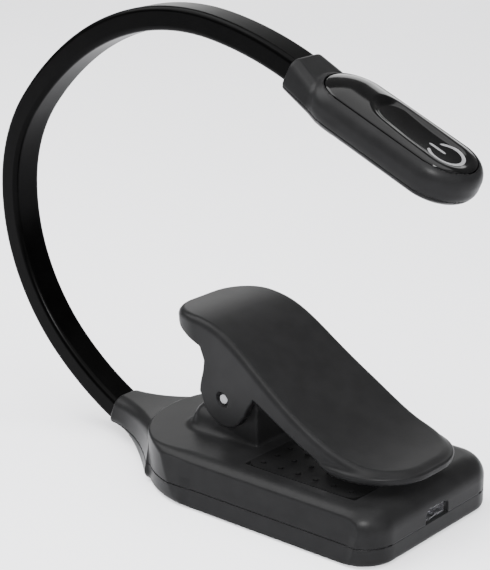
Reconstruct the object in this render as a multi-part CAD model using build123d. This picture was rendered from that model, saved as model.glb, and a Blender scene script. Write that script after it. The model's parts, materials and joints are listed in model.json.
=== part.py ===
"""Clip-on reading lamp: a spring clip on a battery base, a flat gooseneck and an LED head.

Millimetres, +Z up. The origin is the middle of the base's flat underside, +X points to the
charging socket at the front, and the X-Z plane is the plane of symmetry.
"""
from build123d import *
import math
import os

# ---------------------------------------------------------------- driving dimensions
# base
BASE_LENGTH = 72.0
BASE_WIDTH = 46.0
BASE_HEIGHT = 11.4
FRONT_CORNER = 7.9
TOP_ROUND = 4.6
FOOT_CHAMFER = 1.2
PARTING_HEIGHT = 4.1
WALL = 1.8
ROOF = 2.0
FLOOR = 1.5

# snout that holds the neck
NECK_START_X = -52.3
NECK_START_Z = 6.2
NECK_START_HEADING = 153.6
SNOUT_WIDTH = 9.9
SNOUT_HEIGHT = 7.3
SNOUT_ROOT_WIDTH = 27.0
SNOUT_ROOT_HEIGHT = 10.0
SNOUT_MIDDLE_WIDTH = 16.5
SNOUT_MIDDLE_HEIGHT = 8.6

# pivot block, pin and spring
PIN_X = -11.4
PIN_Z = 21.8
PIN_RADIUS = 1.25
PIN_FIT = 0.05
BLOCK_HALF_WIDTH = 8.6
BARREL_RADIUS = 6.6
BLOCK_REAR_X = -24.4
BLOCK_REAR_TOP = 19.8
SLOT_HALF_WIDTH = 3.7
SLOT_FLOOR = 13.6
SPRING_RADIUS = 3.4
SPRING_WIRE = 1.1
SPRING_WIDTH = 5.4
SPRING_TURNS = 4
LEVER_LEG_ANGLE = 127.0
LEVER_LEG_LENGTH = 13.6
BASE_LEG_ANGLE = 201.0
BASE_LEG_LENGTH = 11.5

# clip lever
LEVER_REAR_X = -26.8
LEVER_NOSE_X = 35.0
LEVER_WALL = 2.3
LEVER_DRAFT = 5.5
LEVER_REAR_HALF_WIDTH = 10.9
LEVER_NOSE_HALF_WIDTH = 14.8
LEVER_REAR_CORNER = 6.5
LEVER_NOSE_CORNER = 9.0
LEVER_PLAN_HEIGHT = 14.0
EAR_RADIUS = 6.5
NOSE_UNDERSIDE = 13.9
NOSE_BEND_X = 20.0

# jaw pads
JAW_PAD_REAR_X = 14.0
JAW_PAD_FRONT_X = 29.0
JAW_PAD_WIDTH = 21.0
JAW_GAP = 0.25
GRIP_REAR_X = -1.5
GRIP_FRONT_X = 27.0
GRIP_WIDTH = 33.0
GRIP_THICKNESS = 1.0
NUB_RADIUS = 0.6
NUB_HEIGHT = 0.35
NUB_SPACING = 4.6

# charging socket and electronics
SOCKET_WIDTH = 7.5
SOCKET_HEIGHT = 2.6
SOCKET_DEPTH = 5.6
SOCKET_CLEARANCE = 0.15
SOCKET_FRONT_X = 35.2
SOCKET_PLATE = 0.35
BOARD_FRONT_X = SOCKET_FRONT_X - 2.2
BOARD_THICKNESS = 1.0
BOARD_LENGTH = 18.0
BOARD_WIDTH = 19.0
CELL_LENGTH = 31.5
CELL_WIDTH = 27.0
CELL_HEIGHT = 5.6
CELL_REAR_X = -18.5

# neck
LINK_LENGTH = 21.06
LINK_TURNS = (17.0, 24.0, 27.0, 34.0, 17.0, 21.0, 23.0, 14.0)
NECK_WIDTH = 7.8
NECK_THICKNESS = 5.3
NECK_CORNER = 1.2
CORE_RADIUS = 1.2
WIRE_RADIUS = 0.5
WIRE_OFFSET = 2.5
CORE_FIT = 0.05
KNUCKLE_GAP = 0.15
TURN_GAP = 0.3
ANCHOR_LENGTH = 5.0
ANCHOR_RADIUS = 1.75

# head, in its own frame: x along the head with 0 at the nose, z out of the top
HEAD_LENGTH = 40.4
HEAD_WIDTH = 18.2
HEAD_HALF_HEIGHT = 4.1
HEAD_TOP_ROUND = 2.6
HEAD_BOTTOM_ROUND = 2.6
HEAD_PARTING = -2.2
HEAD_WALL = 1.6
NECK_OVER_HEAD = 0.4
COLLAR_END = -47.0
COLLAR_WIDTH = 10.4
COLLAR_HEIGHT = 7.4
COLLAR_ROOT_WIDTH = 14.0
COLLAR_ROOT_HEIGHT = 7.8
COLLAR_CORNER = 1.8
KEY_INSET = 2.0
KEY_FLOOR = 1.5
KEY_BOTTOM = 2.2
KEY_CROWN = 5.5
KEY_EDGE_ROUND = 1.4
KEY_CLEARANCE = 0.2
KEY_TRAVEL = 0.4
DISH_RADIUS = 22.0
DISH_DEPTH = 1.3
DISH_REAR_X = -26.5
ICON_X = -8.7
ICON_RADIUS = 3.5
ICON_STROKE = 0.9
ICON_DEPTH = 0.3
LENS_LENGTH = 28.0
LENS_WIDTH = 10.5
LENS_REAR_GAP = 6.3
LED_COUNT = 3
LED_SPACING = 8.0

# fasteners
SCREW_RADIUS = 1.0
SCREW_HEAD_RADIUS = 1.8
SCREW_HEAD_HEIGHT = 1.0
SCREW_LENGTH = 6.0
BOSS_RADIUS = 2.4
HOLE_FIT = 0.05
BASE_SCREW_PLACES = ((29.0, 16.5), (29.0, -16.5), (-22.0, 15.5), (-22.0, -15.5))
HEAD_SCREW_PLACES = (-36.6, -3.9)
HEAD_SCREW_RADIUS = 0.8
HEAD_SCREW_HEAD_RADIUS = 1.4
HEAD_BOSS_RADIUS = 1.9

HALF_LENGTH = BASE_LENGTH / 2
HALF_WIDTH = BASE_WIDTH / 2
EXTRA = 60.0
ON_FACE = (Align.CENTER, Align.CENTER, Align.MIN)


# ---------------------------------------------------------------- shared helpers
def direction(degrees):
    """Unit vector in the X-Z plane, measured from +X towards +Z."""
    angle = math.radians(degrees)
    return Vector(math.cos(angle), 0, math.sin(angle))


def box(low, high):
    """A box between two corners."""
    size = [b - a for a, b in zip(low, high)]
    middle = [(a + b) / 2 for a, b in zip(low, high)]
    return Pos(*middle) * Box(*size)


def side_prism(face, half_width):
    """An X-Z outline extruded to both sides of the plane of symmetry."""
    return extrude(face, amount=half_width, both=True)


def side_face(edges):
    """A face in the X-Z plane from edges whose points are (x, 0, z)."""
    return make_face(Wire(edges))


def y_cylinder(x, z, radius, half_width):
    """A cylinder along Y, centred on the plane of symmetry."""
    return Pos(x, 0, z) * Rot(90, 0, 0) * Cylinder(radius, 2 * half_width)


def stadium(rear_x, front_x, half_width):
    """A flat stadium outline from rear_x to front_x."""
    length = front_x - rear_x
    return Pos((rear_x + front_x) / 2, 0) * SlotOverall(length, 2 * half_width)


def rod(start, end, radius):
    """A round rod between two points."""
    path = Line(start, end)
    return sweep(Plane(start, z_dir=path @ 1 - path @ 0) * Circle(radius), path)


# ---------------------------------------------------------------- base
def base_plan(inset=0.0):
    """Outline of the base seen from above: round at the neck end, square at the front."""
    half_length = HALF_LENGTH - inset
    half_width = HALF_WIDTH - inset
    corner = FRONT_CORNER - inset
    turn_x = HALF_WIDTH - HALF_LENGTH
    cos45 = math.sqrt(0.5)
    front_x = half_length - corner
    front_y = half_width - corner
    edges = [
        ThreePointArc((turn_x, half_width), (turn_x - half_width, 0), (turn_x, -half_width)),
        Line((turn_x, -half_width), (front_x, -half_width)),
        ThreePointArc(
            (front_x, -half_width),
            (front_x + corner * cos45, -front_y - corner * cos45),
            (half_length, -front_y),
        ),
        Line((half_length, -front_y), (half_length, front_y)),
        ThreePointArc(
            (half_length, front_y),
            (front_x + corner * cos45, front_y + corner * cos45),
            (front_x, half_width),
        ),
        Line((front_x, half_width), (turn_x, half_width)),
    ]
    return make_face(Wire(edges))


def snout_section(x, z, heading, width, height, corner):
    """A rounded section of the snout, square to its heading."""
    plane = Plane((x, 0, z), x_dir=(0, 1, 0), z_dir=direction(heading))
    return plane * RectangleRounded(width, height, corner)


def snout():
    """Tapered snout behind the base that the neck comes out of."""
    root_x = 4.0 - HALF_LENGTH
    root_z = 0.6 + SNOUT_ROOT_HEIGHT / 2
    middle_x = (0.45 * root_x) + (0.55 * NECK_START_X)
    sections = [
        snout_section(root_x, root_z, 180, SNOUT_ROOT_WIDTH, SNOUT_ROOT_HEIGHT, 2.5),
        snout_section(middle_x, 5.4, 172, SNOUT_MIDDLE_WIDTH, SNOUT_MIDDLE_HEIGHT, 2.2),
        snout_section(
            NECK_START_X, NECK_START_Z, NECK_START_HEADING, SNOUT_WIDTH, SNOUT_HEIGHT, 1.9
        ),
    ]
    return loft(sections)


def pivot_block():
    """Raised block between the lever's ears, round about the pin, slotted for the spring."""
    front_x = PIN_X + BARREL_RADIUS
    foot = BASE_HEIGHT - ROOF
    profile = side_face(
        [
            Line((front_x, 0, foot), (front_x, 0, PIN_Z)),
            ThreePointArc(
                (front_x, 0, PIN_Z),
                (PIN_X, 0, PIN_Z + BARREL_RADIUS),
                (PIN_X - BARREL_RADIUS, 0, PIN_Z),
            ),
            Line((PIN_X - BARREL_RADIUS, 0, PIN_Z), (BLOCK_REAR_X + 3, 0, BLOCK_REAR_TOP)),
            ThreePointArc(
                (BLOCK_REAR_X + 3, 0, BLOCK_REAR_TOP),
                (BLOCK_REAR_X + 0.8, 0, BLOCK_REAR_TOP - 1.2),
                (BLOCK_REAR_X, 0, BLOCK_REAR_TOP - 4),
            ),
            Line((BLOCK_REAR_X, 0, BLOCK_REAR_TOP - 4), (BLOCK_REAR_X, 0, foot)),
            Line((BLOCK_REAR_X, 0, foot), (front_x, 0, foot)),
        ]
    )
    block = side_prism(profile, BLOCK_HALF_WIDTH)
    corners = block.edges().filter_by(Axis.Z).group_by(Axis.X)[0]
    return fillet(corners, 3.0)


def spring_slot():
    """Space for the torsion spring, open above and behind the pin."""
    low = (BLOCK_REAR_X + 2.0, -SLOT_HALF_WIDTH, SLOT_FLOOR)
    high = (PIN_X + BARREL_RADIUS - 2.0, SLOT_HALF_WIDTH, PIN_Z + EXTRA)
    return box(low, high)


def socket_hole():
    """Cut-out for the charging socket in the front wall."""
    width = SOCKET_WIDTH + 2 * SOCKET_CLEARANCE
    height = SOCKET_HEIGHT + 2 * SOCKET_CLEARANCE
    low = (HALF_LENGTH - 8.0, -width / 2, PARTING_HEIGHT)
    high = (HALF_LENGTH + 1.0, width / 2, PARTING_HEIGHT + height)
    hole = box(low, high)
    upper = hole.edges().filter_by(Axis.X).group_by(Axis.Z)[-1]
    return fillet(upper, 0.8)


def base_envelope():
    """Outer form of the closed base, with snout and pivot block."""
    body = extrude(base_plan(), amount=BASE_HEIGHT)
    body = fillet(body.edges().group_by(Axis.Z)[-1], TOP_ROUND)
    body = chamfer(body.edges().group_by(Axis.Z)[0], FOOT_CHAMFER)
    return body + snout() + pivot_block()


def base_cavity():
    """Hollow inside the base between floor and roof."""
    room = extrude(base_plan(WALL), amount=BASE_HEIGHT - ROOF - FLOOR)
    room = fillet(room.edges().group_by(Axis.Z)[-1], TOP_ROUND - WALL)
    return Pos(0, 0, FLOOR) * room


def anchor_bore(radius):
    """Bore along the snout for the neck's lower anchor, open into the base."""
    heading = direction(NECK_START_HEADING)
    outer = Vector(NECK_START_X, 0, NECK_START_Z) + heading * 2
    inner = Vector(NECK_START_X, 0, NECK_START_Z) - heading * ANCHOR_LENGTH
    return rod(inner, outer, radius)


def screw_bosses(radius, low, high):
    """Round bosses at the base's screw places."""
    height = high - low
    return [Pos(x, y, (low + high) / 2) * Cylinder(radius, height) for x, y in BASE_SCREW_PLACES]


def grip_recess():
    """Shallow recess in the base's top for the lower jaw pad."""
    middle = (GRIP_REAR_X + GRIP_FRONT_X) / 2
    shape = RectangleRounded(GRIP_FRONT_X - GRIP_REAR_X, GRIP_WIDTH, 3.0)
    return Pos(middle, 0, BASE_HEIGHT - GRIP_THICKNESS) * extrude(shape, amount=GRIP_THICKNESS)


def base_shells():
    """The moulded upper shell and lower cover, parted at one flat seam."""
    envelope = base_envelope()
    upper_half = box((-EXTRA, -EXTRA, PARTING_HEIGHT), (EXTRA, EXTRA, 2 * EXTRA))
    cavity = base_cavity()
    top = envelope & upper_half
    top -= cavity
    for boss in screw_bosses(BOSS_RADIUS, PARTING_HEIGHT, BASE_HEIGHT - ROOF):
        top += boss
    for hole in screw_bosses(SCREW_RADIUS + HOLE_FIT, 0, FLOOR + SCREW_LENGTH):
        top -= hole
    top -= spring_slot()
    top -= y_cylinder(PIN_X, PIN_Z, PIN_RADIUS + PIN_FIT, BASE_WIDTH)
    top -= socket_hole()
    top -= grip_recess()
    top -= anchor_bore(ANCHOR_RADIUS)
    bottom = envelope - upper_half
    bottom -= cavity
    for boss in screw_bosses(BOSS_RADIUS + 0.6, FLOOR - 0.5, PARTING_HEIGHT):
        bottom += boss
    for hole in screw_bosses(SCREW_RADIUS + HOLE_FIT, -1, BASE_HEIGHT):
        bottom -= hole
    for hole in screw_bosses(SCREW_HEAD_RADIUS + HOLE_FIT, -1, SCREW_HEAD_HEIGHT + 0.3):
        bottom -= hole
    bottom -= anchor_bore(ANCHOR_RADIUS)
    bottom += board_posts()
    return top, bottom


def screw(x, y, z, up, length):
    """A round-head screw with its head at z and its shank along up."""
    head = Cylinder(SCREW_HEAD_RADIUS, SCREW_HEAD_HEIGHT, align=ON_FACE)
    shank = Cylinder(SCREW_RADIUS, length, align=ON_FACE)
    cross = box((-1.1, -0.25, -1), (1.1, 0.25, 0.5))
    cross += box((-0.25, -1.1, -1), (0.25, 1.1, 0.5))
    return Plane((x, y, z), z_dir=up) * (head + shank - cross)


def base_screws():
    """The four screws that close the base from below."""
    up = (0, 0, 1)
    return Compound(children=[screw(x, y, 0.3, up, SCREW_LENGTH) for x, y in BASE_SCREW_PLACES])


def lower_grip_pad():
    """Rubber pad let into the base's top under the jaw, with rows of nubs."""
    pad = grip_recess()
    nubs = GridLocations(NUB_SPACING, NUB_SPACING, 6, 7)
    middle = (GRIP_REAR_X + GRIP_FRONT_X) / 2
    for place in nubs:
        dot = Cylinder(NUB_RADIUS, NUB_HEIGHT, align=ON_FACE)
        pad += Pos(middle, 0, BASE_HEIGHT) * place * dot
    return pad


# ---------------------------------------------------------------- electronics in the base
def board_top():
    """Height of the charging board's upper face."""
    return PARTING_HEIGHT + SOCKET_CLEARANCE


def charge_board():
    """Charging board behind the socket."""
    low = (BOARD_FRONT_X - BOARD_LENGTH, -BOARD_WIDTH / 2, board_top() - BOARD_THICKNESS)
    return box(low, (BOARD_FRONT_X, BOARD_WIDTH / 2, board_top()))


def board_posts():
    """Posts on the floor that carry the charging board."""
    height = board_top() - BOARD_THICKNESS - FLOOR + 0.2
    posts = []
    for x in (BOARD_FRONT_X - 3.0, BOARD_FRONT_X - BOARD_LENGTH + 3.0):
        for y in (-BOARD_WIDTH / 2 + 2.0, BOARD_WIDTH / 2 - 2.0):
            posts.append(Pos(x, y, FLOOR - 0.2 + height / 2) * Cylinder(1.5, height))
    return posts


def board_components():
    """Charging chip, coil and passives on the charging board."""
    rear = BOARD_FRONT_X - BOARD_LENGTH
    z = board_top()
    blocks = [
        box((rear + 2.0, -2.5, z), (rear + 7.0, 2.5, z + 1.4)),
        box((rear + 2.0, 4.0, z), (rear + 6.0, 8.0, z + 2.0)),
        box((rear + 9.5, -7.5, z), (rear + 11.5, -6.3, z + 0.8)),
        box((rear + 9.5, 5.0, z), (rear + 11.5, 6.2, z + 0.8)),
        box((rear + 3.0, -7.6, z), (rear + 5.8, -6.0, z + 0.9)),
    ]
    return Compound(children=blocks)


def socket_shell():
    """Sheet-metal shell of the micro-B charging socket."""
    rear = SOCKET_FRONT_X - SOCKET_DEPTH
    z = board_top()
    outer = box((rear, -SOCKET_WIDTH / 2, z), (SOCKET_FRONT_X, SOCKET_WIDTH / 2, z + SOCKET_HEIGHT))
    outer = fillet(outer.edges().filter_by(Axis.X).group_by(Axis.Z)[-1], 0.7)
    low = (rear + SOCKET_PLATE, SOCKET_PLATE - SOCKET_WIDTH / 2, z + SOCKET_PLATE)
    high = (SOCKET_FRONT_X + 1, SOCKET_WIDTH / 2 - SOCKET_PLATE, z + SOCKET_HEIGHT - SOCKET_PLATE)
    return outer - box(low, high)


def socket_tongue():
    """Plastic contact tongue inside the charging socket."""
    rear = SOCKET_FRONT_X - SOCKET_DEPTH + SOCKET_PLATE
    z = board_top() + SOCKET_HEIGHT - 1.2
    return box((rear, -1.9, z), (SOCKET_FRONT_X - 1.0, 1.9, z + 0.6))


def battery_cell():
    """Flat rechargeable cell."""
    low = (CELL_REAR_X, -CELL_WIDTH / 2, FLOOR)
    high = (CELL_REAR_X + CELL_LENGTH, CELL_WIDTH / 2, FLOOR + CELL_HEIGHT)
    cell = box(low, high)
    return fillet(cell.edges().filter_by(Axis.X), 1.2)


def battery_leads():
    """Two short leads from the cell to the charging board."""
    front = CELL_REAR_X + CELL_LENGTH
    rear = BOARD_FRONT_X - BOARD_LENGTH
    leads = []
    for y in (-1.6, 1.6):
        points = [(front + 0.2, y, 6.0), (front + 2.0, y, 6.6), (rear + 1.0, y, board_top() + 0.5)]
        path = FilletPolyline(*points, radius=1.0)
        leads.append(sweep(Plane(points[0], z_dir=path % 0) * Circle(0.4), path))
    return Compound(children=leads)


# ---------------------------------------------------------------- pivot
def pivot_pin():
    """Steel pin through both ears and the block."""
    pin = y_cylinder(PIN_X, PIN_Z, PIN_RADIUS, ear_outer() + 0.1)
    return chamfer(pin.edges().filter_by(GeomType.CIRCLE), 0.25)


def ear_outer():
    """Distance from the plane of symmetry to an ear's outer face at the pin."""
    rise = PIN_Z - LEVER_PLAN_HEIGHT
    return LEVER_REAR_HALF_WIDTH + rise * math.tan(math.radians(LEVER_DRAFT))


def torsion_spring():
    """Coil about the pin with one leg under the lever and one on the block's floor."""
    start = LEVER_LEG_ANGLE - 90
    end = BASE_LEG_ANGLE + 90
    turns = SPRING_TURNS + (end - start) / 360
    helix = Helix(pitch=SPRING_WIDTH / turns, height=SPRING_WIDTH, radius=SPRING_RADIUS)
    coil = sweep(Plane(helix @ 0, z_dir=helix % 0) * Circle(SPRING_WIRE / 2), helix, is_frenet=True)
    coil = Pos(PIN_X, SPRING_WIDTH / 2, PIN_Z) * Rot(90, 0, 0) * Rot(0, 0, start) * coil
    centre = Vector(PIN_X, 0, PIN_Z)
    half = Vector(0, SPRING_WIDTH / 2, 0)
    upper = centre + direction(start) * SPRING_RADIUS + half
    lower = centre + direction(end) * SPRING_RADIUS - half
    upper_leg = rod(upper, upper + direction(LEVER_LEG_ANGLE) * LEVER_LEG_LENGTH, SPRING_WIRE / 2)
    lower_leg = rod(lower, lower + direction(BASE_LEG_ANGLE) * BASE_LEG_LENGTH, SPRING_WIRE / 2)
    return coil + upper_leg + lower_leg


# ---------------------------------------------------------------- lever
def lever_top_points():
    """Points of the lever's top line from the finger pad to the nose, as (x, z)."""
    pad = [(-26.9, 39.0), (-20.0, 39.2), (-11.8, 37.7)]
    slope = [(0.0, 30.4), (11.2, 23.2)]
    nose = [(20.6, 18.5), (35.2, 15.9)]
    return pad + slope + nose


def lever_top_spline(drop):
    """The lever's S-shaped top line, lowered square to itself by drop."""
    line = Spline(*[(x, 0, z) for x, z in lever_top_points()])
    if drop == 0:
        return line
    points = []
    for step in range(13):
        tangent = line % (step / 12)
        down = Vector(tangent.Z, 0, -tangent.X)
        points.append(line @ (step / 12) + down * drop)
    return Spline(*points)


def lever_plan(inset=0.0):
    """Lever outline from above at LEVER_PLAN_HEIGHT, widening to the nose."""
    rear_x = LEVER_REAR_X + inset
    nose_x = LEVER_NOSE_X - inset
    rear = LEVER_REAR_HALF_WIDTH - inset
    nose = LEVER_NOSE_HALF_WIDTH - inset
    waist_x = PIN_X + EAR_RADIUS
    outline = Polyline(
        (rear_x, -rear), (waist_x, -rear), (NOSE_BEND_X, -nose), (nose_x, -nose),
        (nose_x, nose), (NOSE_BEND_X, nose), (waist_x, rear), (rear_x, rear), close=True,
    )
    face = make_face(outline)
    rear_corners = face.vertices().group_by(Axis.X)[0]
    face = fillet(rear_corners, LEVER_REAR_CORNER - inset)
    nose_corners = face.vertices().group_by(Axis.X)[-1]
    face = fillet(nose_corners, LEVER_NOSE_CORNER - inset)
    waists = face.vertices().filter_by(lambda v: waist_x - 0.1 < v.X < NOSE_BEND_X + 0.1)
    return fillet(waists, 25.0)


def lever_plan_prism(inset=0.0):
    """The lever's outline drawn up with draft, wider towards the top."""
    low = 7.0
    shift = low * math.tan(math.radians(LEVER_DRAFT))
    face = lever_plan(inset + shift)
    prism = extrude(face, amount=40.0, taper=-LEVER_DRAFT)
    return Pos(0, 0, LEVER_PLAN_HEIGHT - low) * prism


def lever_side():
    """Side outline of the lever with its ears."""
    top = lever_top_spline(0)
    start = top @ 0
    end = top @ 1
    ear_left = PIN_X - EAR_RADIUS
    edges = [
        top,
        Line(end, (end.X, 0, NOSE_UNDERSIDE)),
        Line((end.X, 0, NOSE_UNDERSIDE), (NOSE_BEND_X, 0, NOSE_UNDERSIDE)),
        Line((NOSE_BEND_X, 0, NOSE_UNDERSIDE), (PIN_X + 9.8, 0, PIN_Z + 2.4)),
        Line((PIN_X + 9.8, 0, PIN_Z + 2.4), (PIN_X + 6.0, 0, PIN_Z - 2.5)),
        ThreePointArc(
            (PIN_X + 6.0, 0, PIN_Z - 2.5),
            (PIN_X, 0, PIN_Z - EAR_RADIUS),
            (ear_left, 0, PIN_Z),
        ),
        Line((ear_left, 0, PIN_Z), (ear_left + 2.4, 0, PIN_Z + 9.0)),
        Line((ear_left + 2.4, 0, PIN_Z + 9.0), (ear_left + 0.8, 0, PIN_Z + 11.4)),
        Line((ear_left + 0.8, 0, PIN_Z + 11.4), (start.X, 0, start.Z - 2.6)),
        Line((start.X, 0, start.Z - 2.6), start),
    ]
    return side_face(edges)


def lever_hollow():
    """Space under the lever between its side walls."""
    under = lever_top_spline(LEVER_WALL)
    start = under @ 0
    end = under @ 1
    edges = [
        under,
        Line(end, (end.X, 0, -EXTRA)),
        Line((end.X, 0, -EXTRA), (start.X, 0, -EXTRA)),
        Line((start.X, 0, -EXTRA), start),
    ]
    return side_prism(side_face(edges), EXTRA) & lever_plan_prism(LEVER_WALL)


def clip_lever():
    """One-piece moulded lever: finger pad, side walls with ears, and flat nose."""
    lever = side_prism(lever_side(), EXTRA) & lever_plan_prism()
    lever -= lever_hollow()
    lever -= y_cylinder(PIN_X, PIN_Z, PIN_RADIUS + PIN_FIT, EXTRA)
    return lever


def jaw_pad():
    """Ribbed rubber pad under the lever's nose."""
    low_z = BASE_HEIGHT + NUB_HEIGHT + JAW_GAP
    shape = RectangleRounded(JAW_PAD_FRONT_X - JAW_PAD_REAR_X, JAW_PAD_WIDTH, 3.0)
    middle = (JAW_PAD_FRONT_X + JAW_PAD_REAR_X) / 2
    pad = Pos(middle, 0, low_z) * extrude(shape, amount=NOSE_UNDERSIDE - low_z)
    pad -= side_prism(lever_side(), EXTRA)
    for step in range(5):
        x = JAW_PAD_REAR_X + 2.5 + 2.5 * step
        pad -= box((x, -EXTRA, low_z - 1), (x + 0.8, EXTRA, low_z + 0.4))
    return pad


# ---------------------------------------------------------------- neck
def neck_stations():
    """Where each link of the neck starts, as (x, z, heading in degrees), and the neck's end."""
    x, z, heading = NECK_START_X, NECK_START_Z, NECK_START_HEADING
    stations = [(x, z, heading)]
    for turn in LINK_TURNS:
        chord = LINK_LENGTH * math.sin(math.radians(turn / 2)) / math.radians(turn / 2)
        step = direction(heading - turn / 2) * chord
        x, z, heading = x + step.X, z + step.Z, heading - turn
        stations.append((x, z, heading))
    return stations


def link_part(number, section, start, end):
    """A section carried along one link's arc, from start to end millimetres along it."""
    x, z, heading = neck_stations()[number]
    radius = LINK_LENGTH / math.radians(LINK_TURNS[number])
    centre = Vector(x, 0, z) + direction(heading - 90) * radius
    skipped = math.degrees(start / radius)
    arc = math.degrees((end - start) / radius)
    spot = centre + direction(heading - skipped + 90) * radius
    plane = Plane(spot, x_dir=(0, 1, 0), z_dir=direction(heading - skipped))
    return revolve(plane * section, Axis(centre, (0, 1, 0)), revolution_arc=arc)


def knuckle(x, z, radius):
    """Round end of a link about its hinge, with softened sides."""
    drum = y_cylinder(x, z, radius, NECK_WIDTH / 2)
    return fillet(drum.edges().filter_by(GeomType.CIRCLE), NECK_CORNER)


def neck_sleeve(number):
    """Rubber sleeve of one link, socketed below and round above."""
    last = number == len(LINK_TURNS) - 1
    section = RectangleRounded(NECK_WIDTH, NECK_THICKNESS, NECK_CORNER)
    section -= Circle(CORE_RADIUS + CORE_FIT)
    for y in (-WIRE_OFFSET, WIRE_OFFSET):
        section -= Pos(y, 0) * Circle(WIRE_RADIUS + CORE_FIT)
    start = TURN_GAP if number == 0 else 0
    end = LINK_LENGTH - TURN_GAP if last else LINK_LENGTH
    sleeve = link_part(number, section, start, end)
    stations = neck_stations()
    if not last:
        x, z, _ = stations[number + 1]
        sleeve += knuckle(x, z, NECK_THICKNESS / 2)
    if number > 0:
        x, z, _ = stations[number]
        sleeve -= y_cylinder(x, z, NECK_THICKNESS / 2 + KNUCKLE_GAP, NECK_WIDTH)
    return sleeve


def link_run(number):
    """How far a link's core and wires reach along it, as (start, end)."""
    clear = NECK_THICKNESS / 2 + 2 * KNUCKLE_GAP
    start = clear if number else TURN_GAP
    end = LINK_LENGTH - TURN_GAP if number == len(LINK_TURNS) - 1 else LINK_LENGTH - clear
    return start, end


def neck_core(number):
    """Bendable steel core of one link; the end ones reach into the anchors."""
    stations = neck_stations()
    start, end = link_run(number)
    reach = ANCHOR_LENGTH - 1.0
    if number == 0:
        x, z, heading = stations[0]
        foot = Vector(x, 0, z)
        tail = rod(foot - direction(heading) * reach, foot, CORE_RADIUS)
        return link_part(number, Circle(CORE_RADIUS), 0, end) + tail
    if number == len(LINK_TURNS) - 1:
        x, z, heading = stations[-1]
        tip = Vector(x, 0, z)
        tail = rod(tip, tip + direction(heading) * reach, CORE_RADIUS)
        return link_part(number, Circle(CORE_RADIUS), start, LINK_LENGTH) + tail
    return link_part(number, Circle(CORE_RADIUS), start, end)


def neck_wires(number):
    """The two insulated wires beside one link's core."""
    start, end = link_run(number)
    wires = []
    for y in (-WIRE_OFFSET, WIRE_OFFSET):
        wires.append(link_part(number, Pos(y, 0) * Circle(WIRE_RADIUS), start, end))
    return Compound(children=wires)


def anchor(x, z, heading):
    """Metal ferrule that grips the neck's core, from its mouth inwards."""
    mouth = Vector(x, 0, z) + direction(heading) * 0.6
    inner = Vector(x, 0, z) + direction(heading) * ANCHOR_LENGTH
    return rod(mouth, inner, ANCHOR_RADIUS) - rod(mouth, inner, CORE_RADIUS + CORE_FIT)


def lower_anchor():
    """Ferrule in the snout."""
    x, z, heading = neck_stations()[0]
    return anchor(x, z, heading + 180)


def upper_anchor():
    """Ferrule in the head's collar."""
    return anchor(*neck_stations()[-1])


# ---------------------------------------------------------------- head
def head_place():
    """Location that carries the head's own frame to where it sits on the neck."""
    x, z, heading = neck_stations()[-1]
    along = direction(heading)
    up = direction(heading + 90)
    nose = Vector(x, 0, z) - along * COLLAR_END - up * NECK_OVER_HEAD
    return Plane(nose, x_dir=along, z_dir=up).location


def head_envelope():
    """Outer form of the head: a rounded pill with a tapered collar behind."""
    pill = slab(stadium(-HEAD_LENGTH, 0, HEAD_WIDTH / 2), -HEAD_HALF_HEIGHT, HEAD_HALF_HEIGHT)
    pill = fillet(pill.edges().group_by(Axis.Z)[-1], HEAD_TOP_ROUND)
    pill = fillet(pill.edges().group_by(Axis.Z)[0], HEAD_BOTTOM_ROUND)
    root = Plane((-34.0, 0, 0), x_dir=(0, 1, 0), z_dir=(-1, 0, 0))
    mouth = Plane((COLLAR_END, 0, NECK_OVER_HEAD), x_dir=(0, 1, 0), z_dir=(-1, 0, 0))
    collar = loft(
        [
            root * RectangleRounded(COLLAR_ROOT_WIDTH, COLLAR_ROOT_HEIGHT, COLLAR_CORNER),
            mouth * RectangleRounded(COLLAR_WIDTH, COLLAR_HEIGHT, COLLAR_CORNER),
        ]
    )
    return pill + collar


def key_outline(grow=0.0):
    """Outline of the press key in the head's top."""
    inset = KEY_INSET - grow
    return stadium(inset - HEAD_LENGTH, -inset, HEAD_WIDTH / 2 - inset)


def slab(face, low, high):
    """A flat outline extruded between two heights."""
    return Pos(0, 0, low) * extrude(face, amount=high - low)


def head_room():
    """Hollow inside the head, under the key's floor."""
    outline = stadium(-HEAD_LENGTH + HEAD_WALL, -HEAD_WALL, HEAD_WIDTH / 2 - HEAD_WALL)
    return slab(outline, HEAD_HALF_HEIGHT * -1 + 1.2, KEY_FLOOR - 0.9)


def lens_outline(grow=0.0):
    """Outline of the lens in the head's underside."""
    return stadium(
        -LENS_REAR_GAP - LENS_LENGTH - grow, -LENS_REAR_GAP + grow, LENS_WIDTH / 2 + grow
    )


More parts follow.
